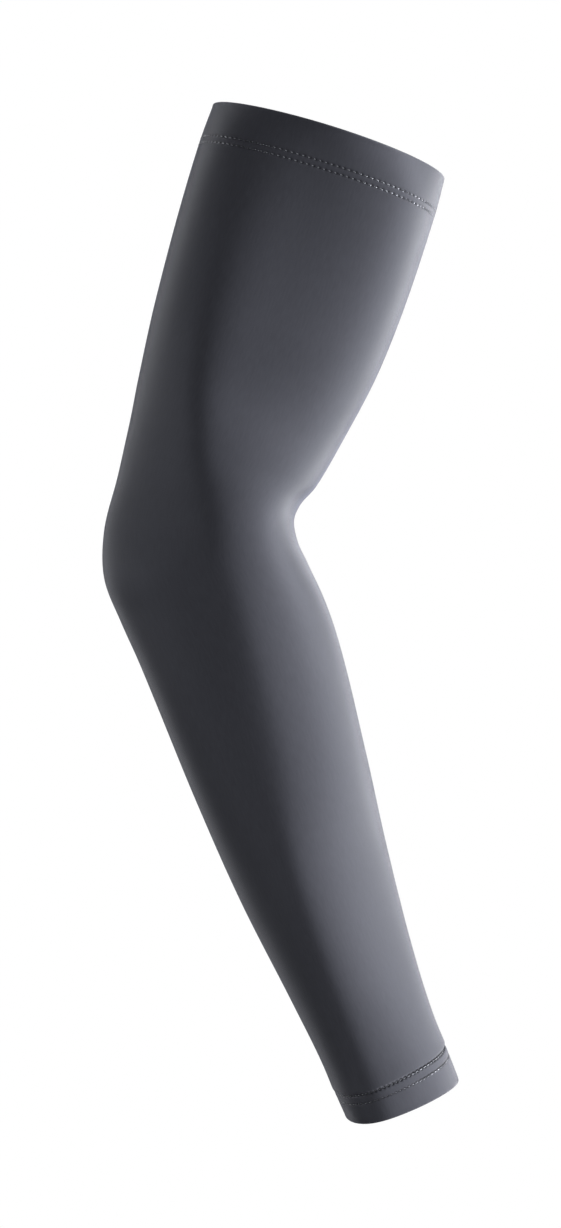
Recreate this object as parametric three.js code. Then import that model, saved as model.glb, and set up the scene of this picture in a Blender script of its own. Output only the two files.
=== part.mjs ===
// Arm sleeve: a knitted tube that keeps the form of a slightly bent arm, with a turned-in hem at each end.
//
// Millimetres, +Z up. The arm bends in the XZ plane: the point of the elbow faces -X and its crook faces +X.
// The origin is the centre of the upper-arm opening, where the sleeve grips the arm.
import * as THREE from "three";
import { ParametricGeometry } from "three/addons/geometries/ParametricGeometry.js";

// Driving sizes
const CLOTH = 1.2; // wall of one layer of knit
const LAYER_GAP = 0.3; // air between two layers, and between a hem and the body
const UPPER_HEM_DEPTH = 18.6; // from the upper rim to just past the lower row of stitches
const WRIST_HEM_DEPTH = 14.3; // from the wrist rim to just past the upper row of stitches
const TURN_LAP = 2.4; // how far a hem's inner turn runs on under the body
const RIDGE_SOFT = 0.2; // roundness of the ridge along the arm, as a share of half the width
const SIDES = 40; // facets round the sleeve
const RING_SPACING = 8; // length of a facet along the sleeve
const FOLD_STEPS = 4; // facets round the fold at a rim

// Cross-sections square to the arm, from the upper rim to the wrist rim.
//   x, z    centre of the section
//   back    how far the centre lies behind the plane of the upper arm, along +Y
//   tilt    turn of the section in the XZ plane, in degrees: positive lowers its crook side
//   nod     lean of the section towards the near side, -Y, in degrees: positive lowers its near edge
//   wide    size in the XZ plane, from the elbow side to the crook side
//   deep    size from the near side to the far side
//   egg     share by which the crook side is deeper, and the elbow side narrower, than the middle
//   square  exponent of the outline: 2 is an ellipse, more is boxier
//   ridge   how steeply the depth falls away on both sides of the soft ridge along the arm
//   ridgeAt place of that ridge across the section, from -1 on the elbow side to 1 on the crook side
const SECTION_COLUMNS = ["x", "z", "back", "tilt", "nod", "wide", "deep", "egg", "square", "ridge", "ridgeAt"];
const SECTIONS = {
  upper_rim: [0, 0, 0, 17.7, -0.3, 99.6, 90, 0.06, 1.95, 0, -0.7],
  upper_hem: [-4.9, -16, 0, 17.3, 0, 100.9, 90, 0.08, 2.55, 0.09, -0.69],
  upper_arm: [-24.8, -78.9, 0, 16.9, 0, 96.2, 87, 0.09, 2.8, 0.29, -0.57],
  upper_arm_low: [-36.3, -110.5, 0, 16.9, 0, 87.4, 83.5, 0.16, 2.8, 0.4, -0.44],
  above_elbow: [-43.7, -130.2, 0, 15.8, 0, 80.5, 80, 0.22, 2.9, 0.34, -0.23],
  elbow_top: [-49.3, -143.9, 0, 7.8, 0, 75.8, 79, 0.27, 2.95, 0.3, 0],
  elbow: [-53.2, -157.9, 0, -3.3, 0, 78, 79, 0.27, 3.1, 0.3, 0.16],
  elbow_low: [-52.3, -171.8, 0.3, -10.2, 2, 80.8, 80, 0.2, 3.1, 0.25, 0.18],
  below_elbow: [-47.1, -184.5, 0.9, -16.9, 3, 80.3, 80, 0.12, 3.1, 0.26, 0.18],
  forearm_top: [-40, -200.1, 1.8, -18.2, 3, 80.3, 80, 0.03, 3.1, 0.28, 0.14],
  forearm_swell: [-33.9, -216.1, 2.7, -19, 3, 79.3, 79, -0.02, 3.05, 0.28, 0.11],
  forearm: [-19.9, -259.4, 5, -17.4, 3, 72.8, 73, -0.05, 2.65, 0.25, 0.01],
  forearm_low: [-6.2, -300.7, 7.3, -19.8, 3, 64.4, 65, -0.09, 2.1, 0.27, -0.25],
  above_wrist: [9.8, -343, 9.6, -21.8, 3.5, 54.5, 56, -0.14, 2, 0.25, -0.43],
  wrist: [19.9, -368.1, 11, -22.2, 5.5, 50.2, 52, -0.17, 2.15, 0.16, -0.5],
  cuff: [26.3, -383.7, 11.9, -19.9, 8, 49.6, 51.5, -0.19, 2.2, 0.11, -0.58],
  wrist_rim: [30.4, -393.6, 12.4, -17, 8, 49.2, 51, -0.2, 2.25, 0.11, -0.66],
};

// Stations: the distance of each section from the upper rim, along the line of the centres.
const rows = Object.values(SECTIONS);
const stations = [0];
for (let i = 1; i < rows.length; i++) {
  const step = Math.hypot(rows[i][0] - rows[i - 1][0], rows[i][1] - rows[i - 1][1]);
  stations.push(stations[i - 1] + step);
}
const LENGTH = stations.at(-1);
const sectionCurve = new THREE.CubicInterpolant(stations, rows.flat(), SECTION_COLUMNS.length);

// The section at a distance along the sleeve, as an object with a value for each column.
function sectionAt(along) {
  const values = sectionCurve.evaluate(along);
  return Object.fromEntries(SECTION_COLUMNS.map((column, i) => [column, values[i]]));
}

// A point of the section's outline, drawn in by `inset` all round. Turn 0 is the crook side, and 0.25 the near side.
// The outline is a superellipse in polar form, made deeper towards the crook and lower on both sides of the ridge.
function skinPoint(along, turn, inset, target) {
  const { x, z, back, tilt, nod, wide, deep, egg, square, ridge, ridgeAt } = sectionAt(along);
  const cos = Math.cos(2 * Math.PI * turn);
  const sin = Math.sin(2 * Math.PI * turn);
  const radius = (Math.abs(cos) ** square + Math.abs(sin) ** square) ** (-1 / square);
  const across = radius * cos;
  const fall = ridge * (Math.hypot(across - ridgeAt, RIDGE_SOFT) - RIDGE_SOFT);
  const through = radius * sin * (1 + egg * across - fall);
  const slope = THREE.MathUtils.degToRad(tilt);
  const lean = THREE.MathUtils.degToRad(nod);
  const reach = (wide / 2 - inset) * across;
  const near = (deep / 2 - inset) * through;
  const drop = near * Math.sin(lean);
  return target.set(
    x + reach * Math.cos(slope) - drop * Math.sin(slope),
    back - near * Math.cos(lean),
    z - reach * Math.sin(slope) - drop * Math.cos(slope),
  );
}

// A closed band round the arm: each profile point is [distance along the sleeve, inset from the outer skin].
// The profile runs down the outside and back up the inside.
function bandGeometry(profile) {
  const place = (u, v, target) => {
    const [along, inset] = profile[Math.round(v * profile.length) % profile.length];
    return skinPoint(along, u % 1, inset, target);
  };
  return new ParametricGeometry(place, SIDES, profile.length);
}

// Evenly spaced distances from one end of a stretch to the other.
function spaced(from, to) {
  const steps = Math.max(1, Math.round(Math.abs(to - from) / RING_SPACING));
  return Array.from({ length: steps + 1 }, (_, i) => THREE.MathUtils.lerp(from, to, i / steps));
}

// The tube of single cloth between the hems.
function bodyProfile() {
  const from = UPPER_HEM_DEPTH + LAYER_GAP;
  const to = LENGTH - WRIST_HEM_DEPTH - LAYER_GAP;
  const outside = spaced(from, to).map((along) => [along, 0]);
  const inside = spaced(to, from).map((along) => [along, CLOTH]);
  return [...outside, ...inside];
}

// A turned-in hem: two layers joined by a round fold at the rim, the inner one lapping under the body's edge.
// `rim` is the rim's distance along the sleeve, and `way` is +1 where the sleeve lies past it, -1 where before it.
function hemProfile(rim, depth, way) {
  const doubled = 2 * CLOTH + LAYER_GAP;
  const radius = doubled / 2;
  const fold = Array.from({ length: FOLD_STEPS + 1 }, (_, i) => {
    const angle = (Math.PI * i) / FOLD_STEPS;
    return [rim + way * radius * (1 - Math.sin(angle)), radius * (1 + Math.cos(angle))];
  });
  const edge = rim + way * depth;
  const turn = edge + way * TURN_LAP;
  const lap = CLOTH + LAYER_GAP;
  const profile = [...fold, [edge, 0], [edge, lap], [turn, lap], [turn, doubled]];
  return way > 0 ? profile : profile.reverse();
}

const knit = new THREE.MeshStandardMaterial({ color: 0x50525a, roughness: 0.72, metalness: 0 });
const hemKnit = new THREE.MeshStandardMaterial({ color: 0x4c4e56, roughness: 0.75, metalness: 0 });

const PIECES = {
  sleeve_body: [bodyProfile(), knit],
  upper_hem: [hemProfile(0, UPPER_HEM_DEPTH, 1), hemKnit],
  wrist_hem: [hemProfile(LENGTH, WRIST_HEM_DEPTH, -1), hemKnit],
};

const sleeve = new THREE.Group();
for (const [name, [profile, material]] of Object.entries(PIECES)) {
  const mesh = new THREE.Mesh(bandGeometry(profile), material);
  mesh.name = name;
  sleeve.add(mesh);
}

export default sleeve;
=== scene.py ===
# %% [markdown]
# # An arm sleeve of fine stretch knit
# The sleeve is one thin panel of knit, closed into a tapered tube and hemmed at both ends with a twin
# needle. The frame below holds its plain solids at their real size. This lesson dresses them: smooth cloth
# worked out as surfaces in numpy, real stitches, and a knit finish that holds up close to the lens.

# %% Load the frame
import math

import bpy
import numpy as np
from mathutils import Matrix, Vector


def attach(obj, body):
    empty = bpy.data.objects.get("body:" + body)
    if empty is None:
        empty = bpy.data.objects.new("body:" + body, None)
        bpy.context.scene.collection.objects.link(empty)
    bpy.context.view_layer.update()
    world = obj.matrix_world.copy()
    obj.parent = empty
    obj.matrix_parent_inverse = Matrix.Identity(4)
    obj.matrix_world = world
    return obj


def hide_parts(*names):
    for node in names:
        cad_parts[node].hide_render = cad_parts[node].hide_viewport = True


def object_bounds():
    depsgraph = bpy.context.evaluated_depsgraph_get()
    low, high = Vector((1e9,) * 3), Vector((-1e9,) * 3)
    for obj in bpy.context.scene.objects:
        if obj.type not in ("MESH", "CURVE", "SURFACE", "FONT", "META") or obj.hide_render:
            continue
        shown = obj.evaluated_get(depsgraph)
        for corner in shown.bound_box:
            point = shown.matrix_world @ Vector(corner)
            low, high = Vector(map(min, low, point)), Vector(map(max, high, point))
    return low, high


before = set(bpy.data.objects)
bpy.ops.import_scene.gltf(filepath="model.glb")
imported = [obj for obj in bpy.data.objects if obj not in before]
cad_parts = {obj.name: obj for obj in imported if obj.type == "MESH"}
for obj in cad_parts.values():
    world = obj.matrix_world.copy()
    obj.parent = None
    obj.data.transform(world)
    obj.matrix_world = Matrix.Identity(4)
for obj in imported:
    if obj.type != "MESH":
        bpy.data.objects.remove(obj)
cad_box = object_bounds()
MM = 0.001  # metres
TAU = 2 * math.pi  # a whole turn, in radians
print("frame nodes:", sorted(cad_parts))
print("CAD box in mm:", [[round(c / MM, 1) for c in corner] for corner in cad_box])

# %% [markdown]
# ## The form of the arm
# A worn sleeve has no shape of its own: it takes the arm's. A few cross-sections square to the arm say all
# of it, and a smooth curve through them gives every section between. A sculpted mesh could do the same, but
# a table can be read and changed one row at a time.

# %% Sections of the arm
# x, z, back: middle of the section in mm, where back lies behind the plane of the upper arm
# tilt, nod: its turn in the plane of the bend, and its lean to the near side, in degrees
# wide, deep: its size in mm from the elbow side to the crook side, and from the near side to the far side
# egg: share by which the crook side is deeper than the middle
# square: exponent of the outline, where 2 is an ellipse and more is boxier
# ridge, ridge_at: how steeply a soft ridge falls away, and its place from -1 (elbow) to 1 (crook)
SECTION_COLUMNS = ("x", "z", "back", "tilt", "nod", "wide", "deep", "egg", "square", "ridge", "ridge_at")
SECTIONS = {
    "upper_rim": (0, 0, 0, 17.7, -0.3, 99.6, 90, 0.06, 1.95, 0, -0.7),
    "upper_hem": (-4.9, -16, 0, 17.3, 0, 100.9, 90, 0.08, 2.55, 0.09, -0.69),
    "upper_arm": (-24.8, -78.9, 0, 16.9, 0, 96.2, 87, 0.09, 2.8, 0.29, -0.57),
    "upper_arm_low": (-36.3, -110.5, 0, 16.9, 0, 87.4, 83.5, 0.16, 2.8, 0.4, -0.44),
    "above_elbow": (-43.7, -130.2, 0, 15.8, 0, 80.5, 80, 0.22, 2.9, 0.34, -0.23),
    "elbow_top": (-49.3, -143.9, 0, 7.8, 0, 75.8, 79, 0.27, 2.95, 0.3, 0),
    "elbow": (-53.2, -157.9, 0, -3.3, 0, 78, 79, 0.27, 3.1, 0.3, 0.16),
    "elbow_low": (-52.3, -171.8, 0.3, -10.2, 2, 80.8, 80, 0.2, 3.1, 0.25, 0.18),
    "below_elbow": (-47.1, -184.5, 0.9, -16.9, 3, 80.3, 80, 0.12, 3.1, 0.26, 0.18),
    "forearm_top": (-40, -200.1, 1.8, -18.2, 3, 80.3, 80, 0.03, 3.1, 0.28, 0.14),
    "forearm_swell": (-33.9, -216.1, 2.7, -19, 3, 79.3, 79, -0.02, 3.05, 0.28, 0.11),
    "forearm": (-19.9, -259.4, 5, -17.4, 3, 72.8, 73, -0.05, 2.65, 0.25, 0.01),
    "forearm_low": (-6.2, -300.7, 7.3, -19.8, 3, 64.4, 65, -0.09, 2.1, 0.27, -0.25),
    "above_wrist": (9.8, -343, 9.6, -21.8, 3.5, 54.5, 56, -0.14, 2, 0.25, -0.43),
    "wrist": (19.9, -368.1, 11, -22.2, 5.5, 50.2, 52, -0.17, 2.15, 0.16, -0.5),
    "cuff": (26.3, -383.7, 11.9, -19.9, 8, 49.6, 51.5, -0.19, 2.2, 0.11, -0.58),
    "wrist_rim": (30.4, -393.6, 12.4, -17, 8, 49.2, 51, -0.2, 2.25, 0.11, -0.66),
}
section_rows = np.array(list(SECTIONS.values()), float)
section_steps = np.hypot(np.diff(section_rows[:, 0]), np.diff(section_rows[:, 1]))
stations = np.concatenate([[0.0], np.cumsum(section_steps)])
LENGTH = stations[-1]


def section_at(along):
    """Every column at a distance along the sleeve, in mm.

    Between two stations it is the cubic that meets both rows, with a slope at each station that is the mean
    of the straight slopes on its two sides.
    """
    chords = np.diff(section_rows, axis=0) / np.diff(stations)[:, None]
    slopes = np.concatenate([chords[:1], (chords[:-1] + chords[1:]) / 2, chords[-1:]])
    before = np.clip(np.searchsorted(stations, along, side="right") - 1, 0, len(stations) - 2)
    span = (stations[before + 1] - stations[before])[..., None]
    p = (along - stations[before])[..., None] / span
    start = (2 * p - 3) * p**2 + 1
    values = (
        start * section_rows[before]
        + (1 - start) * section_rows[before + 1]
        + span * (p - 1) ** 2 * p * slopes[before]
        + span * (p - 1) * p**2 * slopes[before + 1]
    )
    return dict(zip(SECTION_COLUMNS, np.moveaxis(values, -1, 0)))


print(f"{len(SECTIONS)} sections, {LENGTH:.1f} mm along the middle of the arm")

# %% [markdown]
# ## A point of the skin
# Two numbers name a place on the sleeve: how far along the arm it lies, and the turn round it. Each piece
# could be modelled by itself and moved until it fits. Here one function draws every piece below, so cloth,
# hems and thread always meet.

# %% The skin of the arm
RIDGE_SOFT = 0.2  # how round a ridge is, as a share of half the width
GIRTH_POINTS = 361  # on an outline, for measuring round it


def skin(along, turn, lift=0.0):
    """Points in mm at a distance `along`, a `turn` round the arm and a `lift` off the outer skin.

    Turn 0 is the crook of the elbow, 0.25 the near side, 0.5 the elbow's point and 0.75 the far side. The
    outline is a superellipse in its polar form: the radius is (|cos|^n + |sin|^n)^(-1/n), stretched to the
    section's width and depth, made deeper towards the crook by `egg`, drawn down on both sides of a soft
    ridge by a rounded V, then turned by `tilt` and leant by `nod`.
    """
    along, turn, lift = np.broadcast_arrays(np.asarray(along, float), turn, lift)
    s = section_at(along)
    cos, sin = np.cos(TAU * turn), np.sin(TAU * turn)
    radius = (np.abs(cos) ** s["square"] + np.abs(sin) ** s["square"]) ** (-1 / s["square"])
    across, through = radius * cos, radius * sin
    reach = (s["wide"] / 2 + lift) * across
    from_ridge = across - s["ridge_at"]
    ridge = s["ridge"] * (RIDGE_SOFT - np.hypot(from_ridge, RIDGE_SOFT))
    near = (s["deep"] / 2 + lift) * through * (1 + s["egg"] * across + ridge)
    slope, lean = np.radians(s["tilt"]), np.radians(s["nod"])
    drop = near * np.sin(lean)
    return np.stack(
        [
            s["x"] + reach * np.cos(slope) - drop * np.sin(slope),
            s["back"] - near * np.cos(lean),
            s["z"] - reach * np.sin(slope) - drop * np.cos(slope),
        ],
        axis=-1,
    )


def girth(along):
    """The length round the sleeve: the sum of short chords of the outline."""
    outline = skin(np.asarray(along, float)[..., None], np.linspace(0, 1, GIRTH_POINTS))
    return np.linalg.norm(np.diff(outline, axis=-2), axis=-1).sum(axis=-1)


print(f"round the upper rim {girth(0.0):.0f} mm, round the wrist rim {girth(LENGTH):.0f} mm")

# %% [markdown]
# ## The camera
# The eye stands level with the middle of the sleeve. Its distance follows from the rims: each shows as a
# flat arc, and how much the arc bulges tells how steeply the eye looks at it. A camera could be pushed about
# by hand until it fits, but a lens worked out from that distance frames the sleeve at once.

# %% Camera
PICTURE = (561, 1228)  # pixels
MM_PER_PIXEL = 0.41  # at the plane of the upper arm
ORIGIN_PIXEL = (328.85, 141.45)  # where the middle of the upper opening shows
EYE_DISTANCE = 1400  # mm
SENSOR = 36  # mm, along the picture's height
CLIP_START = 0.05  # metres

eye = np.array(
    [
        (PICTURE[0] / 2 - ORIGIN_PIXEL[0]) * MM_PER_PIXEL,
        -EYE_DISTANCE,
        (ORIGIN_PIXEL[1] - PICTURE[1] / 2) * MM_PER_PIXEL,
    ]
)
camera_data = bpy.data.cameras.new("camera")
camera_data.sensor_fit = "VERTICAL"
camera_data.sensor_height = SENSOR
camera_data.lens = SENSOR * EYE_DISTANCE / (PICTURE[1] * MM_PER_PIXEL)
camera_data.clip_start = CLIP_START
camera = bpy.data.objects.new("camera", camera_data)
camera.location = eye * MM
camera.rotation_euler = (math.pi / 2, 0, 0)
scene = bpy.context.scene
scene.collection.objects.link(camera)
scene.camera = camera
print(f"lens {camera_data.lens:.1f} mm, {EYE_DISTANCE} mm from the arm")

# %% [markdown]
# ## What the thread does to the cloth
# Each hem is turned in and held by a twin needle. At the upper arm the cloth stays flat, and each stitch only
# draws it down a little. At the wrist the sleeve is tight over less arm, so the upper row pulls a crease, and
# the tube swells softly above it. Bump could fake this, but the crease cuts the outline, so it is real
# relief.

# %% Relief of the hems
CLOTH = 0.5  # mm, one layer of knit
LAYER_GAP = 0.1  # mm, between two layers
DOUBLED = 2 * CLOTH + LAYER_GAP  # mm, the whole thickness of a hem
SWELL_RISE = 0.8  # mm past the last row in which the cloth swells
SWELL_FADE = 8.0  # mm in which it settles again

# rim, way, depth: mm along the arm to the rim, the way from it into the sleeve, mm of hem
# bow, hook: mm by which the rows lie deeper on the elbow and crook sides, and on the crook side alone
# pitch: mm to a stitch
# rise, stand: how high a stitch lies, in radii of its thread, and how much higher at most
# slip: mm by which the thread lies nearer the rim than its crease does, at most
# pucker, lean: shares by which the thread pulls harder once a stitch, and on the crook side
# swell: mm by which the tube swells past the last row
HEM_COLUMNS = (
    "rim", "way", "depth", "bow", "hook", "pitch", "rise", "stand", "slip", "pucker", "lean", "swell"
)
HEM_TABLE = {
    "upper_hem": (0.0, 1, 18.6, 1.0, 0.0, 2.3, -0.3, 0.7, 0.0, 1.0, 0.2, 0.0),
    "wrist_hem": (LENGTH, -1, 14.3, 0.0, 0.9, 1.95, -0.8, 1.3, 0.25, 0.42, 0.5, 0.3),
}
# at, groove, width: mm in from the rim, mm deep, half the width in mm
# shade: how much painted shade darkens the cloth under the row
ROW_COLUMNS = ("at", "groove", "width", "shade")
ROW_TABLE = {
    "upper_hem": ((14.3, 0.1, 0.5, 0.35), (17.0, 0.1, 0.5, 0.35)),
    "wrist_hem": ((9.7, 0.15, 0.38, 0.7), (13.35, 0.45, 0.6, 0.8)),
}
hems = {name: dict(zip(HEM_COLUMNS, row)) for name, row in HEM_TABLE.items()}
for name, hem in hems.items():
    hem["rows"] = [dict(zip(ROW_COLUMNS, row)) for row in ROW_TABLE[name]]
    first, last = hem["rows"][0]["at"], hem["rows"][-1]["at"]
    hem["stitches"] = int(round(girth(hem["rim"] + hem["way"] * (first + last) / 2) / hem["pitch"]))


def row_depth(hem, row, turn):
    """A row's depth in from the rim, in mm.

    It bows by the square of the cosine of the turn, and hooks by its eighth power on the crook side alone.
    """
    cos = np.cos(TAU * turn)
    return row["at"] + hem["bow"] * cos**2 + hem["hook"] * np.maximum(cos, 0) ** 8


def row_mask(hem, row, depth_in, turn):
    """1 under a row of thread, falling to 0 on both sides as a bell curve."""
    return np.exp(-(((depth_in - row_depth(hem, row, turn)) / row["width"]) ** 2))


def needle_pull(hem, turn):
    """How hard the thread pulls.

    It is a cosine with one period to a stitch, times a cosine that is highest at the crook.
    """
    dents = 1 + hem["pucker"] * np.cos(TAU * hem["stitches"] * turn)
    return dents * (1 + hem["lean"] * np.cos(TAU * turn))


def hem_relief(hem, along, turn):
    """How far a hem lifts the cloth, in mm.

    It is the soft swell of the tube past the last row, which rises as a bell curve and fades as a power of
    e, minus the groove under each row.
    """
    depth_in = hem["way"] * (along - hem["rim"])
    past = np.maximum(depth_in - row_depth(hem, hem["rows"][-1], turn), 0)
    lift = hem["swell"] * (1 - np.exp(-((past / SWELL_RISE) ** 2))) * np.exp(-past / SWELL_FADE)
    for row in hem["rows"]:
        lift = lift - row["groove"] * row_mask(hem, row, depth_in, turn) * needle_pull(hem, turn)
    return lift


def shade(along, turn):
    """Painted shade in the creases, 0 to 1: each row's bell curve times the pull of the thread."""
    total = 0.0
    for hem in hems.values():
        depth_in = hem["way"] * (along - hem["rim"])
        for row in hem["rows"]:
            total = total + row["shade"] * row_mask(hem, row, depth_in, turn) * needle_pull(hem, turn)
    return np.minimum(total, 1)


for name, hem in hems.items():
    print(f"{name}: {hem['stitches']} stitches to a row")

# %% [markdown]
# ## The closing seam
# The panel has to be closed into a tube somewhere, and on such a sleeve a flat seam does it, along the side
# that lies against the body. It is a low ridge of joined cloth with a sunk row of thread near each edge. A
# strip laid on the cloth could stand for it, but as part of the relief it runs on through both hems, as a
# sewn seam does.

# %% Relief of the seam
SEAM_TURN = 0.75  # the far side
SEAM_HALF = 2.2  # mm, half the width of the ridge
SEAM_HEIGHT = 0.35  # mm
SEAM_ROW = 1.6  # mm, from the middle of the seam to each row of thread
SEAM_SINK = 0.5  # depth of the groove under a row, as a share of the height
SEAM_SINK_HALF = 0.4  # mm, half the width of that groove
UNEVEN = ((3, 0.7, 0.10), (7, 2.1, 0.05), (12, 4.0, 0.03))  # waves round the rim, phase, height in mm


def seam_relief(along, turn):
    """A flat-topped ridge, exp(-(distance / half width)^4), with a narrow groove under each row of thread.

    The distance from the seam is a share of the girth, taken where each row of points starts.
    """
    away = (np.mod(turn - SEAM_TURN + 0.5, 1) - 0.5) * girth(along[:, :1])
    ridge = SEAM_HEIGHT * np.exp(-((away / SEAM_HALF) ** 4))
    from_row = (np.abs(away) - SEAM_ROW) / SEAM_SINK_HALF
    return ridge - SEAM_SINK * SEAM_HEIGHT * np.exp(-(from_row**2))


def relief(along, turn):
    """All that lifts the outer skin off the smooth arm, in mm.

    It is the seam and both hems, plus a slight unevenness: sines round the arm that fade from each rim as a
    bell curve.
    """
    lift = seam_relief(along, turn)
    waves = sum(height * np.sin(TAU * count * turn + phase) for count, phase, height in UNEVEN)
    for hem in hems.values():
        depth_in = hem["way"] * (along - hem["rim"])
        lift = lift + hem_relief(hem, along, turn) + waves * np.exp(-((depth_in / hem["depth"]) ** 2))
    return lift


print(f"seam ridge {2 * SEAM_HALF:.1f} mm wide and {SEAM_HEIGHT} mm high")

# %% [markdown]
# ## From a grid to a mesh
# A ring of cloth is a grid of points that closes on itself both ways: round the arm, and from the outside
# over the edge to the inside. Faces could be added one by one, but one helper turns any such grid into a
# mesh at once. Its UV map is in metres of cloth, counted from the near side, so that the knit keeps its real
# scale and meets itself only at the seam.

# %% Cloth meshes
SMOOTH_BELOW = 50  # degrees between two faces, past which their edge is sharp
NEAR_TURN = 0.25  # the near side, where the UV map starts
# painted shade past which a face takes the shaded copy of the knit
PAINTED_SHADE_FROM = 0.4  # shade past which a face counts as deep in a crease


def add_piece(name, points, faces, corner_uv):
    """A mesh from points in mm, faces as lists of corners, and one UV pair for each corner."""
    mesh = bpy.data.meshes.new(name)
    mesh.from_pydata((points * MM).tolist(), [], faces, shade_flat=False)
    layer = mesh.uv_layers.new(name="cloth")
    layer.uv.foreach_set("vector", corner_uv.astype(np.float32).ravel())
    mesh.set_sharp_from_angle(angle=math.radians(SMOOTH_BELOW))
    piece = bpy.data.objects.new(name, mesh)
    scene.collection.objects.link(piece)
    triangles = sum(len(face) - 2 for face in faces)
    print(f"{name}: {triangles} triangles")
    return piece


def add_ring(name, points, turns, woven_at, dark):
    """A closed band of cloth from a grid: rows follow the profile, columns the turns, and both close.

    `woven_at` is each row's place along the cloth in mm, for the UV map. `dark` is the painted shade in
    its creases, which is kept as an attribute for the material's colour. Faces deep in that painted shade
    take the piece's second material, a shaded copy of the knit.
    """
    rows, columns = points.shape[:2]
    index = np.arange(rows * columns).reshape(rows, columns)
    beside = np.roll(index, -1, axis=1)
    next_index, next_beside = np.roll(index, -1, axis=0), np.roll(beside, -1, axis=0)
    faces = np.stack([index, beside, next_beside, next_index], axis=-1).reshape(-1, 4)
    rounds = girth(np.clip(woven_at, 0, LENGTH))[:, None]
    u = (np.append(turns, turns[0] + 1) - NEAR_TURN) * rounds
    v = np.broadcast_to(woven_at[:, None], u.shape)
    uv = np.stack([u, v], axis=-1) * MM
    next_uv = np.roll(uv, -1, axis=0)
    corner_uv = np.stack([uv[:, :-1], uv[:, 1:], next_uv[:, 1:], next_uv[:, :-1]], axis=2)
    piece = add_piece(name, points.reshape(-1, 3), faces.tolist(), corner_uv)
    # painted shade in the creases, kept for the colour of the knit
    crease = piece.data.attributes.new("crease", "FLOAT", "POINT")
    crease.data.foreach_set("value", dark.astype(np.float32).ravel())
    # faces deep in the painted shade take the shaded copy of the knit
    deep = dark.ravel()[faces].mean(axis=1) > PAINTED_SHADE_FROM
    piece.data.polygons.foreach_set("material_index", deep.astype(np.int32))
    return piece


print(f"cloth is shaded smooth below {SMOOTH_BELOW} degrees")

# %% [markdown]
# ## The tube of cloth
# Between the hems the sleeve is a single layer. An even grid fine enough for the seam would be far too
# heavy, so this one is fine only beside the hems and across the seam, and coarser on the smooth lengths. The
# inner wall only has to look right through the openings, so it has fewer rows.

# %% Sleeve body
EDGE_ZONE = 14  # mm beside each hem with close rows
OUTER_STEPS = (0.35, 1.4)  # mm from row to row outside, beside the hems and between them
INNER_STEPS = (3.5, 5.0)  # the same inside
SEAM_ZONE = 0.016  # of a turn on each side of the seam with close columns
SEAM_COLUMNS = 33  # across the seam
PLAIN_COLUMNS = 196  # round the rest of the arm


def body_rows(start, end, edge_step, middle_step):
    """Distances along the sleeve: close together beside both hems and wider apart between."""
    near = np.arange(start, start + EDGE_ZONE, edge_step)
    far = np.arange(end, end - EDGE_ZONE, -edge_step)[::-1]
    count = int(round((far[0] - near[-1]) / middle_step))
    return np.concatenate([near, np.linspace(near[-1], far[0], count + 1)[1:-1], far])


def seam_first_turns():
    """Turns from the seam once round the arm, close together on both sides of the seam."""
    close = np.linspace(-SEAM_ZONE, SEAM_ZONE, SEAM_COLUMNS)
    plain = np.linspace(SEAM_ZONE, 1 - SEAM_ZONE, PLAIN_COLUMNS + 2)[1:-1]
    middle = SEAM_COLUMNS // 2
    turns = np.concatenate([close[middle:], plain, 1 + close[:middle]])
    return turns + SEAM_TURN - 1


body_turns = seam_first_turns()
body_start = hems["upper_hem"]["depth"]
body_end = LENGTH - hems["wrist_hem"]["depth"]
outer_along = body_rows(body_start, body_end, *OUTER_STEPS)
inner_along = body_rows(body_start, body_end, *INNER_STEPS)[::-1]
outer_points = skin(outer_along[:, None], body_turns, relief(outer_along[:, None], body_turns))
inner_points = skin(inner_along[:, None], body_turns, -CLOTH)
sleeve_body = add_ring(
    "sleeve_knit_body",
    np.concatenate([outer_points, inner_points]),
    body_turns,
    np.concatenate([outer_along, inner_along]),
    np.concatenate([shade(outer_along[:, None], body_turns), np.zeros(inner_points.shape[:2])]),
)

# %% [markdown]
# ## The hems
# A hem is the cloth itself, turned in at the rim. Its profile runs down the outside, steps in under the edge
# of the tube, and comes back up the inside to a round fold. Solidify could thicken a band, but it can't make
# that step, so the profile is drawn and carried round the arm. Rows are close together under the thread, and
# there are eight columns to a stitch, so that each stitch dents the cloth.

# %% Hem bands
TURN_LAP = 2.4  # mm, how far the inner turn runs on under the tube
FOLD_STEPS = 10  # round the fold
SEWN_MARGIN = 1.2  # mm of close rows before the first row of thread
PLAIN_STEP, SEWN_STEP, INSIDE_STEP = 1.0, 0.22, 0.6  # mm from row to row by the rim, by the thread, inside
INNER_PULL = 0.15  # mm, how far the thread draws the inner turn outwards
COLUMNS_PER_STITCH = 8


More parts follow.
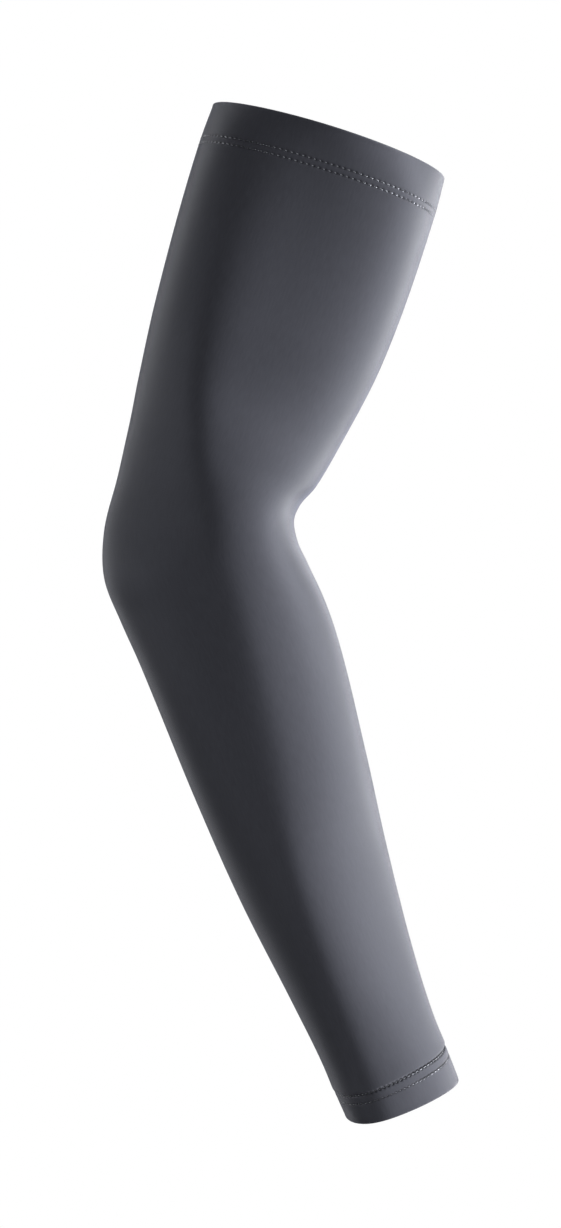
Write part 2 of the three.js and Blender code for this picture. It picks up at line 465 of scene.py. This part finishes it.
def hem_profile(hem):
    """Rows of a hem: over the fold, along the outside, under the tube's edge and back along the inside.

    The first array holds each row's depth in from the rim, inset and place along the cloth, in mm. The others
    are 1 on the outside and on the inside. The fold is a half circle as wide as the doubled cloth.
    """
    radius = DOUBLED / 2
    angle = np.linspace(0, math.pi, FOLD_STEPS + 1)
    fold = np.stack([radius * (1 - np.sin(angle)), radius * (1 + np.cos(angle)), -radius * np.cos(angle)])
    sewn = hem["rows"][0]["at"] - SEWN_MARGIN
    plain = np.linspace(radius, sewn, int(sewn / PLAIN_STEP))[1:-1]
    close = np.linspace(sewn, hem["depth"], int((hem["depth"] - sewn) / SEWN_STEP))
    outside = np.concatenate([plain, close])
    turn_end = hem["depth"] + TURN_LAP
    lap = CLOTH + LAYER_GAP
    under = np.array(
        [
            [hem["depth"], turn_end, turn_end],
            [lap, lap, DOUBLED],
            [hem["depth"], turn_end, -turn_end],
        ]
    )
    inside = np.linspace(turn_end, radius, int(turn_end / INSIDE_STEP))[1:-1]
    rows = np.concatenate(
        [
            fold,
            np.stack([outside, 0 * outside, outside]),
            under,
            np.stack([inside, 0 * inside + DOUBLED, -inside]),
        ],
        axis=1,
    )
    counts = [fold.shape[1], len(outside), under.shape[1], len(inside)]
    outer_share = np.repeat([0, 1, 0, 0], counts)
    inner_share = np.repeat([0, 0, 0, 1], counts)
    return rows, outer_share, inner_share


def inner_pull(hem, depth_in, turn):
    """How far the thread draws the inner turn outwards, in mm: a bell curve under each row."""
    return INNER_PULL * sum(row_mask(hem, row, depth_in, turn) for row in hem["rows"])


def add_hem(name, hem):
    """A hem band: its profile carried round the arm, lifted by the relief outside and the thread inside."""
    (depth_in, inset, woven), outer_share, inner_share = hem_profile(hem)
    columns = hem["stitches"] * COLUMNS_PER_STITCH
    turns = np.arange(columns) / columns + SEAM_TURN - 1
    along = hem["rim"] + hem["way"] * depth_in[:, None]
    lift = outer_share[:, None] * relief(along, turns) - inset[:, None]
    lift = lift + inner_share[:, None] * inner_pull(hem, depth_in[:, None], turns)
    points = skin(along, turns, lift)
    # painted shade, on the outside of the hem only
    dark = outer_share[:, None] * shade(along, turns)
    woven_at = hem["rim"] + hem["way"] * woven
    order = slice(None) if hem["way"] > 0 else slice(None, None, -1)
    return add_ring(name, points[order], turns, woven_at[order], dark[order])


upper_hem = add_hem("upper_hem_band", hems["upper_hem"])
wrist_hem = add_hem("wrist_hem_band", hems["wrist_hem"])

# %% [markdown]
# ## Thread
# A stitch is a short stretch of thread that comes up through one hole, arches over the cloth and dives into
# the next. Hundreds of them are one mesh: the same little tube, laid along each stitch by whole-array
# arithmetic. A curve object with bevel would look alike but would cost one spline to a stitch.

# %% Needle stitches
THREAD = 0.27  # mm, radius of the thread along the cloth
FLAT = 0.55  # its radius off the cloth, as a share: a tight stitch is pressed flat
STITCH_SHARE = 0.72  # of the pitch that one stitch covers
STITCH_RINGS = 7
STITCH_DIVE = 1.4  # radii by which a stitch's ends lie under its top
STITCH_TAPER = 0.12  # power by which it narrows towards its ends
THINNEST = 0.01  # keeps the ends from closing to a point
THREAD_SIDES = 6
TAUT = 0.3  # share of a crease's depth that the tight thread bridges


def unit(vectors):
    """Vectors scaled to length 1."""
    return vectors / np.linalg.norm(vectors, axis=-1, keepdims=True)


def add_tubes(name, paths, outward, radius, closed):
    """Flattened tubes along many paths at once: an array of paths by rings by xyz.

    Each ring is an ellipse square to the path, in the plane of its `outward` direction and the path's side
    direction. A closed path joins its last ring to its first; an open one is capped.
    """
    count, rings = paths.shape[:2]
    if closed:
        ahead = np.roll(paths, -1, axis=1) - np.roll(paths, 1, axis=1)
    else:
        ahead = np.gradient(paths, axis=1)
    side = unit(np.cross(unit(ahead), outward))
    up = np.cross(side, unit(ahead))
    angle = TAU * np.arange(THREAD_SIDES) / THREAD_SIDES
    ellipse = FLAT * np.cos(angle)[:, None] * up[:, :, None] + np.sin(angle)[:, None] * side[:, :, None]
    points = paths[:, :, None] + np.reshape(radius, (1, -1, 1, 1)) * ellipse
    index = np.arange(points.size // 3).reshape(count, rings, THREAD_SIDES)
    beside = np.roll(index, -1, axis=2)
    ahead_index, ahead_beside = np.roll(index, -1, axis=1), np.roll(beside, -1, axis=1)
    faces = np.stack([index, ahead_index, ahead_beside, beside], axis=-1)
    faces = (faces if closed else faces[:, :-1]).reshape(-1, 4)
    ring_of = (faces // THREAD_SIDES) % rings
    length = np.linalg.norm(np.diff(paths, axis=1), axis=-1).sum(axis=1).mean()
    along = np.where(closed & (ring_of < ring_of[:, :1]), rings, ring_of) * length / rings
    round_at = (faces % THREAD_SIDES) / THREAD_SIDES
    round_at = np.where(round_at < round_at[:, :1], 1.0, round_at)
    corner_uv = np.stack([round_at, along * MM], axis=-1).reshape(-1, 2)
    all_faces = faces.tolist()
    if not closed:
        caps = np.concatenate([index[:, 0], index[:, -1, ::-1]])
        all_faces += caps.tolist()
        corner_uv = np.concatenate([corner_uv, np.zeros((caps.size, 2))])
    return add_piece(name, points.reshape(-1, 3), all_faces, corner_uv)


def outward_at(along, turn, lift):
    """The direction off the skin: from a point to the point lifted 1 mm more."""
    return unit(skin(along, turn, lift + 1) - skin(along, turn, lift))


def stitch_shape(rise):
    """Along one stitch, from 0 to 1: the height of its middle line and its radius, in mm.

    The line is a parabola whose top lies `rise` radii over the cloth and whose ends dive under it, so that
    they close out of sight. The radius is a small power of the same parabola: nearly even, and narrow only
    at the ends.
    """
    t = np.linspace(0, 1, STITCH_RINGS)
    parabola = 4 * t * (1 - t)
    height = THREAD * FLAT * (rise - STITCH_DIVE * (1 - parabola))
    return t, height, THREAD * np.maximum(parabola, THINNEST) ** STITCH_TAPER


def add_hem_stitches(name, hem):
    """Both rows of a hem's needle thread, one tube to a stitch, arching from hole to hole over the relief.

    The sine of twice the turn is 1 or -1 midway between the four sides. There its square makes the thread
    stand higher, and where it is positive it slips the thread towards the rim.
    """
    t, height, radius = stitch_shape(hem["rise"])
    place = np.arange(hem["stitches"])[:, None] + 0.5 + STITCH_SHARE * (t - 0.5)
    turn = place / hem["stitches"] + SEAM_TURN - 1
    between_sides = np.sin(2 * TAU * turn)
    slip = hem["slip"] * np.maximum(between_sides, 0)
    depths = np.concatenate([row_depth(hem, row, turn) - slip for row in hem["rows"]])
    along = hem["rim"] + hem["way"] * depths
    stand = THREAD * FLAT * hem["stand"] * np.concatenate([between_sides, between_sides]) ** 2
    turn = np.concatenate([turn, turn])
    lift = (1 - TAUT) * relief(along, turn) + height + stand
    return add_tubes(name, skin(along, turn, lift), outward_at(along, turn, lift), radius, closed=False)


upper_stitches = add_hem_stitches("upper_hem_stitches", hems["upper_hem"])
wrist_stitches = add_hem_stitches("wrist_hem_stitches", hems["wrist_hem"])

# %% [markdown]
# ## Cover thread inside the hems
# Under the cloth a third thread loops from one needle row to the other and covers the raw edge. It shows
# through the openings as a fine zigzag. A drawn curve would need hundreds of points, so one closed tube
# follows a formula: a rounded triangle wave round the arm.

# %% Cover thread
COVER_STEPS = 10  # rings to a stitch
COVER_THREAD = 0.17  # mm, radius
ZIGZAG_SHARP = 0.96  # 1 would be a triangle wave, and less is rounder


def zigzag(cycles):
    """A rounded triangle wave from -1 to 1: the arcsine of a sine that stops short of 1."""
    return np.arcsin(ZIGZAG_SHARP * np.sin(TAU * cycles)) / math.asin(ZIGZAG_SHARP)


def add_cover_thread(name, hem):
    """A closed zigzag on the inner face, from one needle row to the other and back once a stitch."""
    steps = hem["stitches"] * COVER_STEPS
    turn = (np.arange(steps) / steps)[None]
    near_rim, far = (row_depth(hem, row, turn) for row in hem["rows"])
    depth_in = (near_rim + far) / 2 + (far - near_rim) / 2 * zigzag(hem["stitches"] * turn)
    along = hem["rim"] + hem["way"] * depth_in
    lift = inner_pull(hem, depth_in, turn) - DOUBLED - FLAT * COVER_THREAD
    inward = -outward_at(along, turn, lift)
    return add_tubes(name, skin(along, turn, lift), inward, np.full(steps, COVER_THREAD), closed=True)


upper_cover = add_cover_thread("upper_hem_cover_thread", hems["upper_hem"])
wrist_cover = add_cover_thread("wrist_hem_cover_thread", hems["wrist_hem"])

# %% [markdown]
# ## Thread of the closing seam
# The seam has two rows of the same stitches along the arm, and a zigzag over the ridge between them. A
# pattern in the material could show it from afar, but from the side a seam's thread breaks the outline. The
# helpers of the hems make it here, with the seam's own distances.

# %% Seam thread
SEAM_PITCH = 2.0  # mm to a stitch
SEAM_CLEAR = 0.6  # mm, at least, from a hem's edge to the seam's thread
SEAM_RISE, ZIGZAG_RISE = 0.3, 0.6  # radii of thread by which a stitch and the zigzag lie over the cloth
seam_from, seam_to = body_start + SEAM_CLEAR, body_end - SEAM_CLEAR
seam_count = int((seam_to - seam_from) / SEAM_PITCH)


def seam_turn(along, away):
    """The turn that lies `away` mm to one side of the seam."""
    return SEAM_TURN + away / girth(along)


def add_seam_stitches(name):
    """Two rows of stitches along the seam."""
    t, height, radius = stitch_shape(SEAM_RISE)
    along = seam_from + (np.arange(seam_count)[:, None] + 0.5 + STITCH_SHARE * (t - 0.5)) * SEAM_PITCH
    along = np.concatenate([along, along])
    away = np.repeat([-SEAM_ROW, SEAM_ROW], seam_count)[:, None]
    turn = seam_turn(along, away)
    lift = relief(along, turn) + height
    return add_tubes(name, skin(along, turn, lift), outward_at(along, turn, lift), radius, closed=False)


def add_seam_zigzag(name):
    """One thread over the ridge, swinging from row to row once a stitch."""
    steps = seam_count * COVER_STEPS
    cycles = np.arange(steps + 1)[None] / COVER_STEPS
    along = seam_from + cycles * SEAM_PITCH
    turn = seam_turn(along, SEAM_ROW * zigzag(cycles))
    lift = relief(along.T, turn.T).T + ZIGZAG_RISE * FLAT * COVER_THREAD
    radius = np.full(steps + 1, COVER_THREAD)
    return add_tubes(name, skin(along, turn, lift), outward_at(along, turn, lift), radius, closed=False)


seam_stitches = add_seam_stitches("seam_stitches")
seam_zigzag = add_seam_zigzag("seam_cover_thread")

# %% [markdown]
# ## A knit that is the same everywhere
# The cloth is a fine plain knit: columns of small V-shaped loops, about two to the millimetre. From where
# the camera stands it reads as satin, and close to it the loops show. Real loops would take millions of
# faces, so they are a pattern. Tube and hems both use it, so it is a node group, built once. It works on the
# UV map, which is measured along the cloth.

# %% Knit loops
LEG_SLANT = 1.3  # courses that a leg would climb across a whole column
LOOP_BASE, LOOP_SWING = 0.65, 0.35  # height of a leg, and how much it changes along its loop


def new_group(name, inputs, outputs):
    """A shader node group with named sockets; returns it with its input sockets and output sockets."""
    group = bpy.data.node_groups.new(name, "ShaderNodeTree")
    for socket, kind, default in inputs:
        made = group.interface.new_socket(socket, in_out="INPUT", socket_type=kind)
        if default is not None:
            made.default_value = default
    for socket in outputs:
        group.interface.new_socket(socket, in_out="OUTPUT", socket_type="NodeSocketFloat")
    start = group.nodes.new("NodeGroupInput")
    end = group.nodes.new("NodeGroupOutput")
    return group, start.outputs, end.inputs


def calc(tree, operation, *values):
    """One Math node. Each value is a number or another node's output."""
    node = tree.nodes.new("ShaderNodeMath")
    node.operation = operation
    for socket, value in zip(node.inputs, values):
        if isinstance(value, bpy.types.NodeSocket):
            tree.links.new(value, socket)
        else:
            socket.default_value = value
    return node.outputs[0]


def split_uv(tree, vector):
    """The two UV numbers of a vector socket."""
    node = tree.nodes.new("ShaderNodeSeparateXYZ")
    tree.links.new(vector, node.inputs[0])
    return node.outputs[0], node.outputs[1]


def make_knit_loops():
    """Height of plain knit: two rounded legs to each column of loops, and one loop to a course.

    Across a column it is the absolute value of a sine. Along it that is scaled by a cosine, which is shifted
    by the distance from the column's middle, so that the two legs slant together.
    """
    group, given, result = new_group(
        "knit_loops",
        [
            ("UV", "NodeSocketVector", None),
            ("Column", "NodeSocketFloat", 0.0006),
            ("Course", "NodeSocketFloat", 0.0005),
        ],
        ["Height"],
    )
    u, v = split_uv(group, given["UV"])
    column = calc(group, "DIVIDE", u, given["Column"])
    course = calc(group, "DIVIDE", v, given["Course"])
    off_centre = calc(group, "ABSOLUTE", calc(group, "SUBTRACT", calc(group, "FRACT", column), 0.5))
    slanted = calc(group, "MULTIPLY_ADD", off_centre, LEG_SLANT, course)
    loop = calc(group, "COSINE", calc(group, "MULTIPLY", slanted, TAU))
    leg = calc(group, "ABSOLUTE", calc(group, "SINE", calc(group, "MULTIPLY", column, TAU)))
    rounded = calc(group, "MULTIPLY", leg, calc(group, "MULTIPLY_ADD", loop, LOOP_SWING, LOOP_BASE))
    group.links.new(rounded, result["Height"])
    return group


knit_loops = make_knit_loops()
print("knit loops:", len(knit_loops.nodes), "nodes")

# %% [markdown]
# ## Small differences of tone
# No dyed cloth is one flat grey. Broad soft patches, and fine streaks that follow the yarn, shift its tone a
# little. A painted picture could hold them, but noise has no pixels and no seams. The same group serves cloth
# and thread at different strengths.

# %% Yarn tone
PATCH_SCALE, PATCH_DETAIL = 28.0, 3.0  # to the metre, and octaves of noise
STREAK_SCALE, STREAK_DETAIL = 1600.0, 2.0
STREAK_STRETCH = 0.12  # scale along the cloth, as a share of the scale across it


def noise(tree, vector, scale, detail):
    """A noise value around 0, from about -0.5 to 0.5."""
    node = tree.nodes.new("ShaderNodeTexNoise")
    node.inputs["Scale"].default_value = scale
    node.inputs["Detail"].default_value = detail
    tree.links.new(vector, node.inputs["Vector"])
    return calc(tree, "SUBTRACT", node.outputs[0], 0.5)


def make_yarn_tone():
    """A tone around 0.5: broad patches in the object's own space plus fine streaks along the cloth."""
    group, given, result = new_group(
        "yarn_tone",
        [
            ("Place", "NodeSocketVector", None),
            ("UV", "NodeSocketVector", None),
            ("Patches", "NodeSocketFloat", 0.3),
            ("Streaks", "NodeSocketFloat", 0.3),
        ],
        ["Tone"],
    )
    patches = noise(group, given["Place"], PATCH_SCALE, PATCH_DETAIL)
    stretched = group.nodes.new("ShaderNodeMapping")
    stretched.inputs["Scale"].default_value = (1.0, STREAK_STRETCH, 1.0)
    group.links.new(given["UV"], stretched.inputs["Vector"])
    streaks = noise(group, stretched.outputs[0], STREAK_SCALE, STREAK_DETAIL)
    broad = calc(group, "MULTIPLY_ADD", patches, given["Patches"], 0.5)
    group.links.new(calc(group, "MULTIPLY_ADD", streaks, given["Streaks"], broad), result["Tone"])
    return group


yarn_tone = make_yarn_tone()
print("yarn tone:", len(yarn_tone.nodes), "nodes")

# %% [markdown]
# ## The knit finish
# Polyester and elastane shine softly: the base is a dark, slightly blue grey, the surface is half rough, and
# the fibre ends that stand up give a pale sheen where the cloth turns away. The loops paint shade into the
# colour between the yarns and raise a very shallow bump. Tube and hems differ only a little, because a
# doubled hem lies flatter. Shade is painted into the creases too: their colour darkens, and the faces deepest
# in that painted shade take a third, shaded copy of the same knit with hardly any shine. A mask on the sheen
# could do that too, but exporters drop a sheen that isn't one plain number.

# %% Knit materials
# painted shade: the knit darkens towards the low colour between the yarns, and also where its tone is low
KNIT_LOW = (0.026, 0.0268, 0.033)  # between the yarns
KNIT_HIGH = (0.0468, 0.0482, 0.0595)  # on top of them
# painted shade: the colour of the cloth deepest in a crease
PAINTED_CREASE_SHADE = (0.008, 0.0082, 0.0095)  # deep in a crease
KNIT_PATCHES, KNIT_STREAKS = 0.35, 0.8
# painted shade between the yarns, from the height of the loops
LOOP_SHADE_SHARE = 0.5  # how far the height of a loop lightens it
TONE_DROP = 0.2  # keeps tone and loops together between the two colours
ROUGH_BASE, ROUGH_SWING = 0.48, 0.12  # roughness, and how much of the tone is added to it
LOOP_BUMP = 0.000014  # metres
SHEEN_ROUGH = 0.35
SHEEN_TINT = (0.78, 0.81, 1.0, 1)
GLOSS_TINT = (0.82, 0.85, 1.0, 1)


def new_material(name):
    """A new node material, with its nodes and its Principled BSDF."""
    material = bpy.data.materials.new(name)
    material.use_nodes = True
    return material, material.node_tree, material.node_tree.nodes["Principled BSDF"]


def place_group(tree, group, links, **values):
    """One use of a node group: `links` joins its named inputs to sockets, and `values` sets the others."""
    node = tree.nodes.new("ShaderNodeGroup")
    node.node_tree = group
    for socket, source in links.items():
        tree.links.new(source, node.inputs[socket])
    for socket, value in values.items():
        node.inputs[socket].default_value = value
    return node.outputs


def place_yarn_tone(tree, patches, streaks):
    """The UV map of a piece, and the tone of its yarn."""
    cloth = tree.nodes.new("ShaderNodeUVMap")
    cloth.uv_map = "cloth"
    place = tree.nodes.new("ShaderNodeTexCoord")
    links = {"UV": cloth.outputs[0], "Place": place.outputs["Object"]}
    tone = place_group(tree, yarn_tone, links, Patches=patches, Streaks=streaks)
    return cloth.outputs[0], tone["Tone"]


def blend_colours(tree, factor, low, high):
    """A colour between two, by a factor from a node. The low one is a colour or another node's output."""
    node = tree.nodes.new("ShaderNodeMix")
    node.data_type = "RGBA"
    if isinstance(low, bpy.types.NodeSocket):
        tree.links.new(low, node.inputs["A"])
    else:
        node.inputs["A"].default_value = (*low, 1)
    node.inputs["B"].default_value = (*high, 1)
    tree.links.new(factor, node.inputs["Factor"])
    return node.outputs["Result"]


def add_bump(tree, height, distance, shader):
    """A Bump node from a height to the shader's normal."""
    bump = tree.nodes.new("ShaderNodeBump")
    bump.inputs["Strength"].default_value = 1.0
    bump.inputs["Distance"].default_value = distance
    tree.links.new(height, bump.inputs["Height"])
    tree.links.new(bump.outputs[0], shader.inputs["Normal"])


def knit_material(name, column, course, gloss, sheen):
    """The knit finish at a given size of loop, in metres, and a given shine."""
    material, tree, shader = new_material(name)
    uv, tone = place_yarn_tone(tree, KNIT_PATCHES, KNIT_STREAKS)
    loops = place_group(tree, knit_loops, {"UV": uv}, Column=column, Course=course)["Height"]
    tone_and_gap_shade = calc(tree, "MULTIPLY_ADD", loops, LOOP_SHADE_SHARE, calc(tree, "SUBTRACT", tone, TONE_DROP))
    knit = blend_colours(tree, tone_and_gap_shade, KNIT_LOW, KNIT_HIGH)
    # painted shade: the crease attribute darkens the colour towards the painted crease shade
    crease = tree.nodes.new("ShaderNodeAttribute")
    crease.attribute_name = "crease"
    tree.links.new(blend_colours(tree, crease.outputs["Fac"], knit, PAINTED_CREASE_SHADE), shader.inputs["Base Color"])
    rough = calc(tree, "MULTIPLY_ADD", tone, ROUGH_SWING, ROUGH_BASE)
    tree.links.new(rough, shader.inputs["Roughness"])
    add_bump(tree, loops, LOOP_BUMP, shader)
    shader.inputs["Specular IOR Level"].default_value = gloss
    shader.inputs["Specular Tint"].default_value = GLOSS_TINT
    shader.inputs["Sheen Weight"].default_value = sheen
    shader.inputs["Sheen Roughness"].default_value = SHEEN_ROUGH
    shader.inputs["Sheen Tint"].default_value = SHEEN_TINT
    return material


# metres to a column of loops, metres to a course, gloss, sheen
KNITS = {
    "sleeve_knit": (0.00060, 0.00048, 0.45, 0.35),
    "hem_knit": (0.00058, 0.00050, 0.45, 0.3),
    # a shaded copy of the knit, for painted shade in the creases: little gloss and little sheen
    "painted_shade_knit": (0.00058, 0.00050, 0.12, 0.08),
}
body_knit, hem_knit, painted_shade_knit = (knit_material(name, *row) for name, row in KNITS.items())
print("knit materials:", body_knit.name, hem_knit.name, painted_shade_knit.name)

# %% [markdown]
# ## The thread finish
# Sewing thread is smoother and darker than the cloth, and each stitch is a little arch. So it mirrors the
# lamps: towards the bright side the stitches are pale dots, and elsewhere dark dashes. Plain gloss would do
# from afar, but up close thread shows its twist, a ridge that slants over the UV map, as bump and as painted
# shade between the plies.

# %% Thread material
# painted shade: the thread darkens towards the low colour between the plies
THREAD_LOW = (0.016, 0.0165, 0.019)  # between the plies
THREAD_HIGH = (0.04, 0.041, 0.047)  # on top of them
THREAD_TINT = (0.85, 0.88, 1.0, 1)
THREAD_PATCHES, THREAD_STREAKS = 0.5, 0.2
# a ply's height sets the painted shade between the plies, times its tone
PLY_SHADE_BASE, PLY_TONE = 0.4, 0.8  # how far a ply's height lightens it, and how much more by its tone
TWISTS = 2200.0  # to the metre
TWIST_BUMP = 0.00002  # metres
THREAD_ROUGH = 0.22
THREAD_IOR = 1.6


def thread_material():
    """Twisted polyester thread: the height is the absolute sine of a slant round and along each tube.
    It gives the bump and the painted shade between the plies.
    """
    material, tree, shader = new_material("sewing_thread")
    uv, tone = place_yarn_tone(tree, THREAD_PATCHES, THREAD_STREAKS)
    u, v = split_uv(tree, uv)
    slant = calc(tree, "MULTIPLY_ADD", v, TWISTS, u)
    ply = calc(tree, "ABSOLUTE", calc(tree, "SINE", calc(tree, "MULTIPLY", slant, math.pi)))
    tone_and_gap_shade = calc(tree, "MULTIPLY", ply, calc(tree, "MULTIPLY_ADD", tone, PLY_TONE, PLY_SHADE_BASE))
    tree.links.new(blend_colours(tree, tone_and_gap_shade, THREAD_LOW, THREAD_HIGH), shader.inputs["Base Color"])
    add_bump(tree, ply, TWIST_BUMP, shader)
    shader.inputs["Roughness"].default_value = THREAD_ROUGH
    shader.inputs["IOR"].default_value = THREAD_IOR
    shader.inputs["Specular IOR Level"].default_value = 1.0
    shader.inputs["Specular Tint"].default_value = THREAD_TINT
    return material


thread = thread_material()
print("thread material:", thread.name)

# %% [markdown]
# ## Onto the frame
# Every piece rides on the one body of the frame. The cloth stands for the plain solids, which stay out of
# sight. Tube and hems are one panel of cloth, made here as three meshes.

# %% Ride and replace
FINISHES = {
    sleeve_body: ((body_knit, painted_shade_knit), "sleeve_knit", "sleeve_body"),
    upper_hem: ((hem_knit, painted_shade_knit), "hem_knit", "upper_hem"),
    wrist_hem: ((hem_knit, painted_shade_knit), "hem_knit", "wrist_hem"),
    upper_stitches: ((thread,), "hem_knit", None),
    wrist_stitches: ((thread,), "hem_knit", None),
    upper_cover: ((thread,), "hem_knit", None),
    wrist_cover: ((thread,), "hem_knit", None),
    seam_stitches: ((thread,), "sleeve_knit", None),
    seam_zigzag: ((thread,), "sleeve_knit", None),
}
for piece, (materials, slot, node) in FINISHES.items():
    for material in materials:
        piece.data.materials.append(material)
    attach(piece, "root")
    if node:
        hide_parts(node)

print(len(FINISHES), "pieces ride on the frame")

# %% [markdown]
# ## Floor and surroundings
# The sleeve is held up as an arm would hold it, high over a plain floor. A white floor under a white sky
# would light the cloth from all sides and flatten it. So both look white to the camera alone, and throw next
# to no light on the cloth, which the lamps can then shape.

# %% Floor and world
FLOOR_DROP = 1.5  # metres under the wrist, so that the low lamps stand clear of it
FLOOR_HALF = 4.0  # metres
FLOOR_COLOUR = (0.05, 0.05, 0.05, 1)  # as the lamps see it
FLOOR_ROUGH = 0.9


def white_to_camera(tree, plain_shader, output):
    """Mixes a plain shader with flat white, which only the camera sees, by the Light Path node."""
    on_object = output.node.type == "OUTPUT_MATERIAL"
    white = tree.nodes.new("ShaderNodeEmission" if on_object else "ShaderNodeBackground")
    white.inputs["Color"].default_value = (1, 1, 1, 1)
    path = tree.nodes.new("ShaderNodeLightPath")
    mix = tree.nodes.new("ShaderNodeMixShader")
    tree.links.new(path.outputs["Is Camera Ray"], mix.inputs[0])
    tree.links.new(plain_shader, mix.inputs[1])
    tree.links.new(white.outputs[0], mix.inputs[2])
    tree.links.new(mix.outputs[0], output)


def add_floor(height):
    """A square plane at a height, white to the camera and dark and matt to the lamps."""
    corners = np.array([[-1, -1], [1, -1], [1, 1], [-1, 1]]) * FLOOR_HALF
    points = np.column_stack([corners, np.full(4, height)])
    mesh = bpy.data.meshes.new("floor")
    mesh.from_pydata(points.tolist(), [], [[0, 1, 2, 3]])
    floor = bpy.data.objects.new("floor", mesh)
    material, tree, shader = new_material("pale_floor")
    shader.inputs["Base Color"].default_value = FLOOR_COLOUR
    shader.inputs["Roughness"].default_value = FLOOR_ROUGH
    white_to_camera(tree, shader.outputs[0], tree.nodes["Material Output"].inputs["Surface"])
    mesh.materials.append(material)
    scene.collection.objects.link(floor)
    return floor


floor = add_floor(cad_box[0].z - FLOOR_DROP)
world = bpy.data.worlds.new("studio")
world.use_nodes = True
scene.world = world
around = world.node_tree.nodes["Background"]
around.inputs["Strength"].default_value = 0.0
white_to_camera(world.node_tree, around.outputs[0], world.node_tree.nodes["World Output"].inputs["Surface"])
scene.view_settings.view_transform = "Standard"
print(f"floor at {floor.data.vertices[0].co.z:.3f} m")

# %% [markdown]
# ## Studio light
# Satin shows where its light comes from, so one lamp would leave a hard stripe. Soft panels stand all round
# the sleeve instead, named by their places. Those on the right make the bright side, and a large one
# towards the front softens the middle. Those at the back draw a rim of light along both edges. Weak ones on
# the left show the elbow, and between left and right the cloth falls into a soft dark band.

# %% Light panels
# degrees round the sleeve from the camera to the right, degrees up, metres away, wide and high, watts
LIGHTS = {
    "right_high": (80, 40, 5, 1.6, 2.8, 300),
    "right": (85, 5, 5, 1.6, 2.8, 162),
    "right_low": (80, -35, 2, 0.64, 1.12, 38),
    "right_front": (27, 15, 6, 6.0, 6.0, 165),
    "right_back": (125, -10, 2.5, 0.8, 1.4, 50),
    "right_back_high": (150, 20, 2.5, 0.8, 1.4, 18),
    "left_front": (-70, 0, 5, 1.6, 2.8, 46),
    "left_front_low": (-45, -30, 2, 0.64, 1.12, 3),
    "left": (-110, 0, 5, 1.6, 2.8, 32),
    "left_high": (-127, 30, 5, 1.6, 2.8, 38),
    "left_low": (-145, -25, 2, 0.64, 1.12, 2.5),
    "left_back": (-135, 0, 5, 1.6, 2.8, 28),
}
SLEEVE_MIDDLE = np.array([-0.02, 0.0, -0.2])  # metres


def add_panel(name, azimuth, elevation, distance, width, height, power):
    """A rectangular light that faces the middle of the sleeve. Azimuth 0 is the camera's side."""
    turn, rise = math.radians(azimuth), math.radians(elevation)
    out = np.array([math.sin(turn) * math.cos(rise), -math.cos(turn) * math.cos(rise), math.sin(rise)])
    data = bpy.data.lights.new(name, "AREA")
    data.shape = "RECTANGLE"
    data.size, data.size_y = width, height
    data.energy = power
    panel = bpy.data.objects.new(name, data)
    panel.location = SLEEVE_MIDDLE + distance * out
    panel.rotation_euler = (math.pi / 2 - rise, 0, turn)
    panel.visible_camera = False
    scene.collection.objects.link(panel)
    return panel


for name, row in LIGHTS.items():
    panel = add_panel(name, *row)
    print(name, [round(c, 2) for c in panel.location])
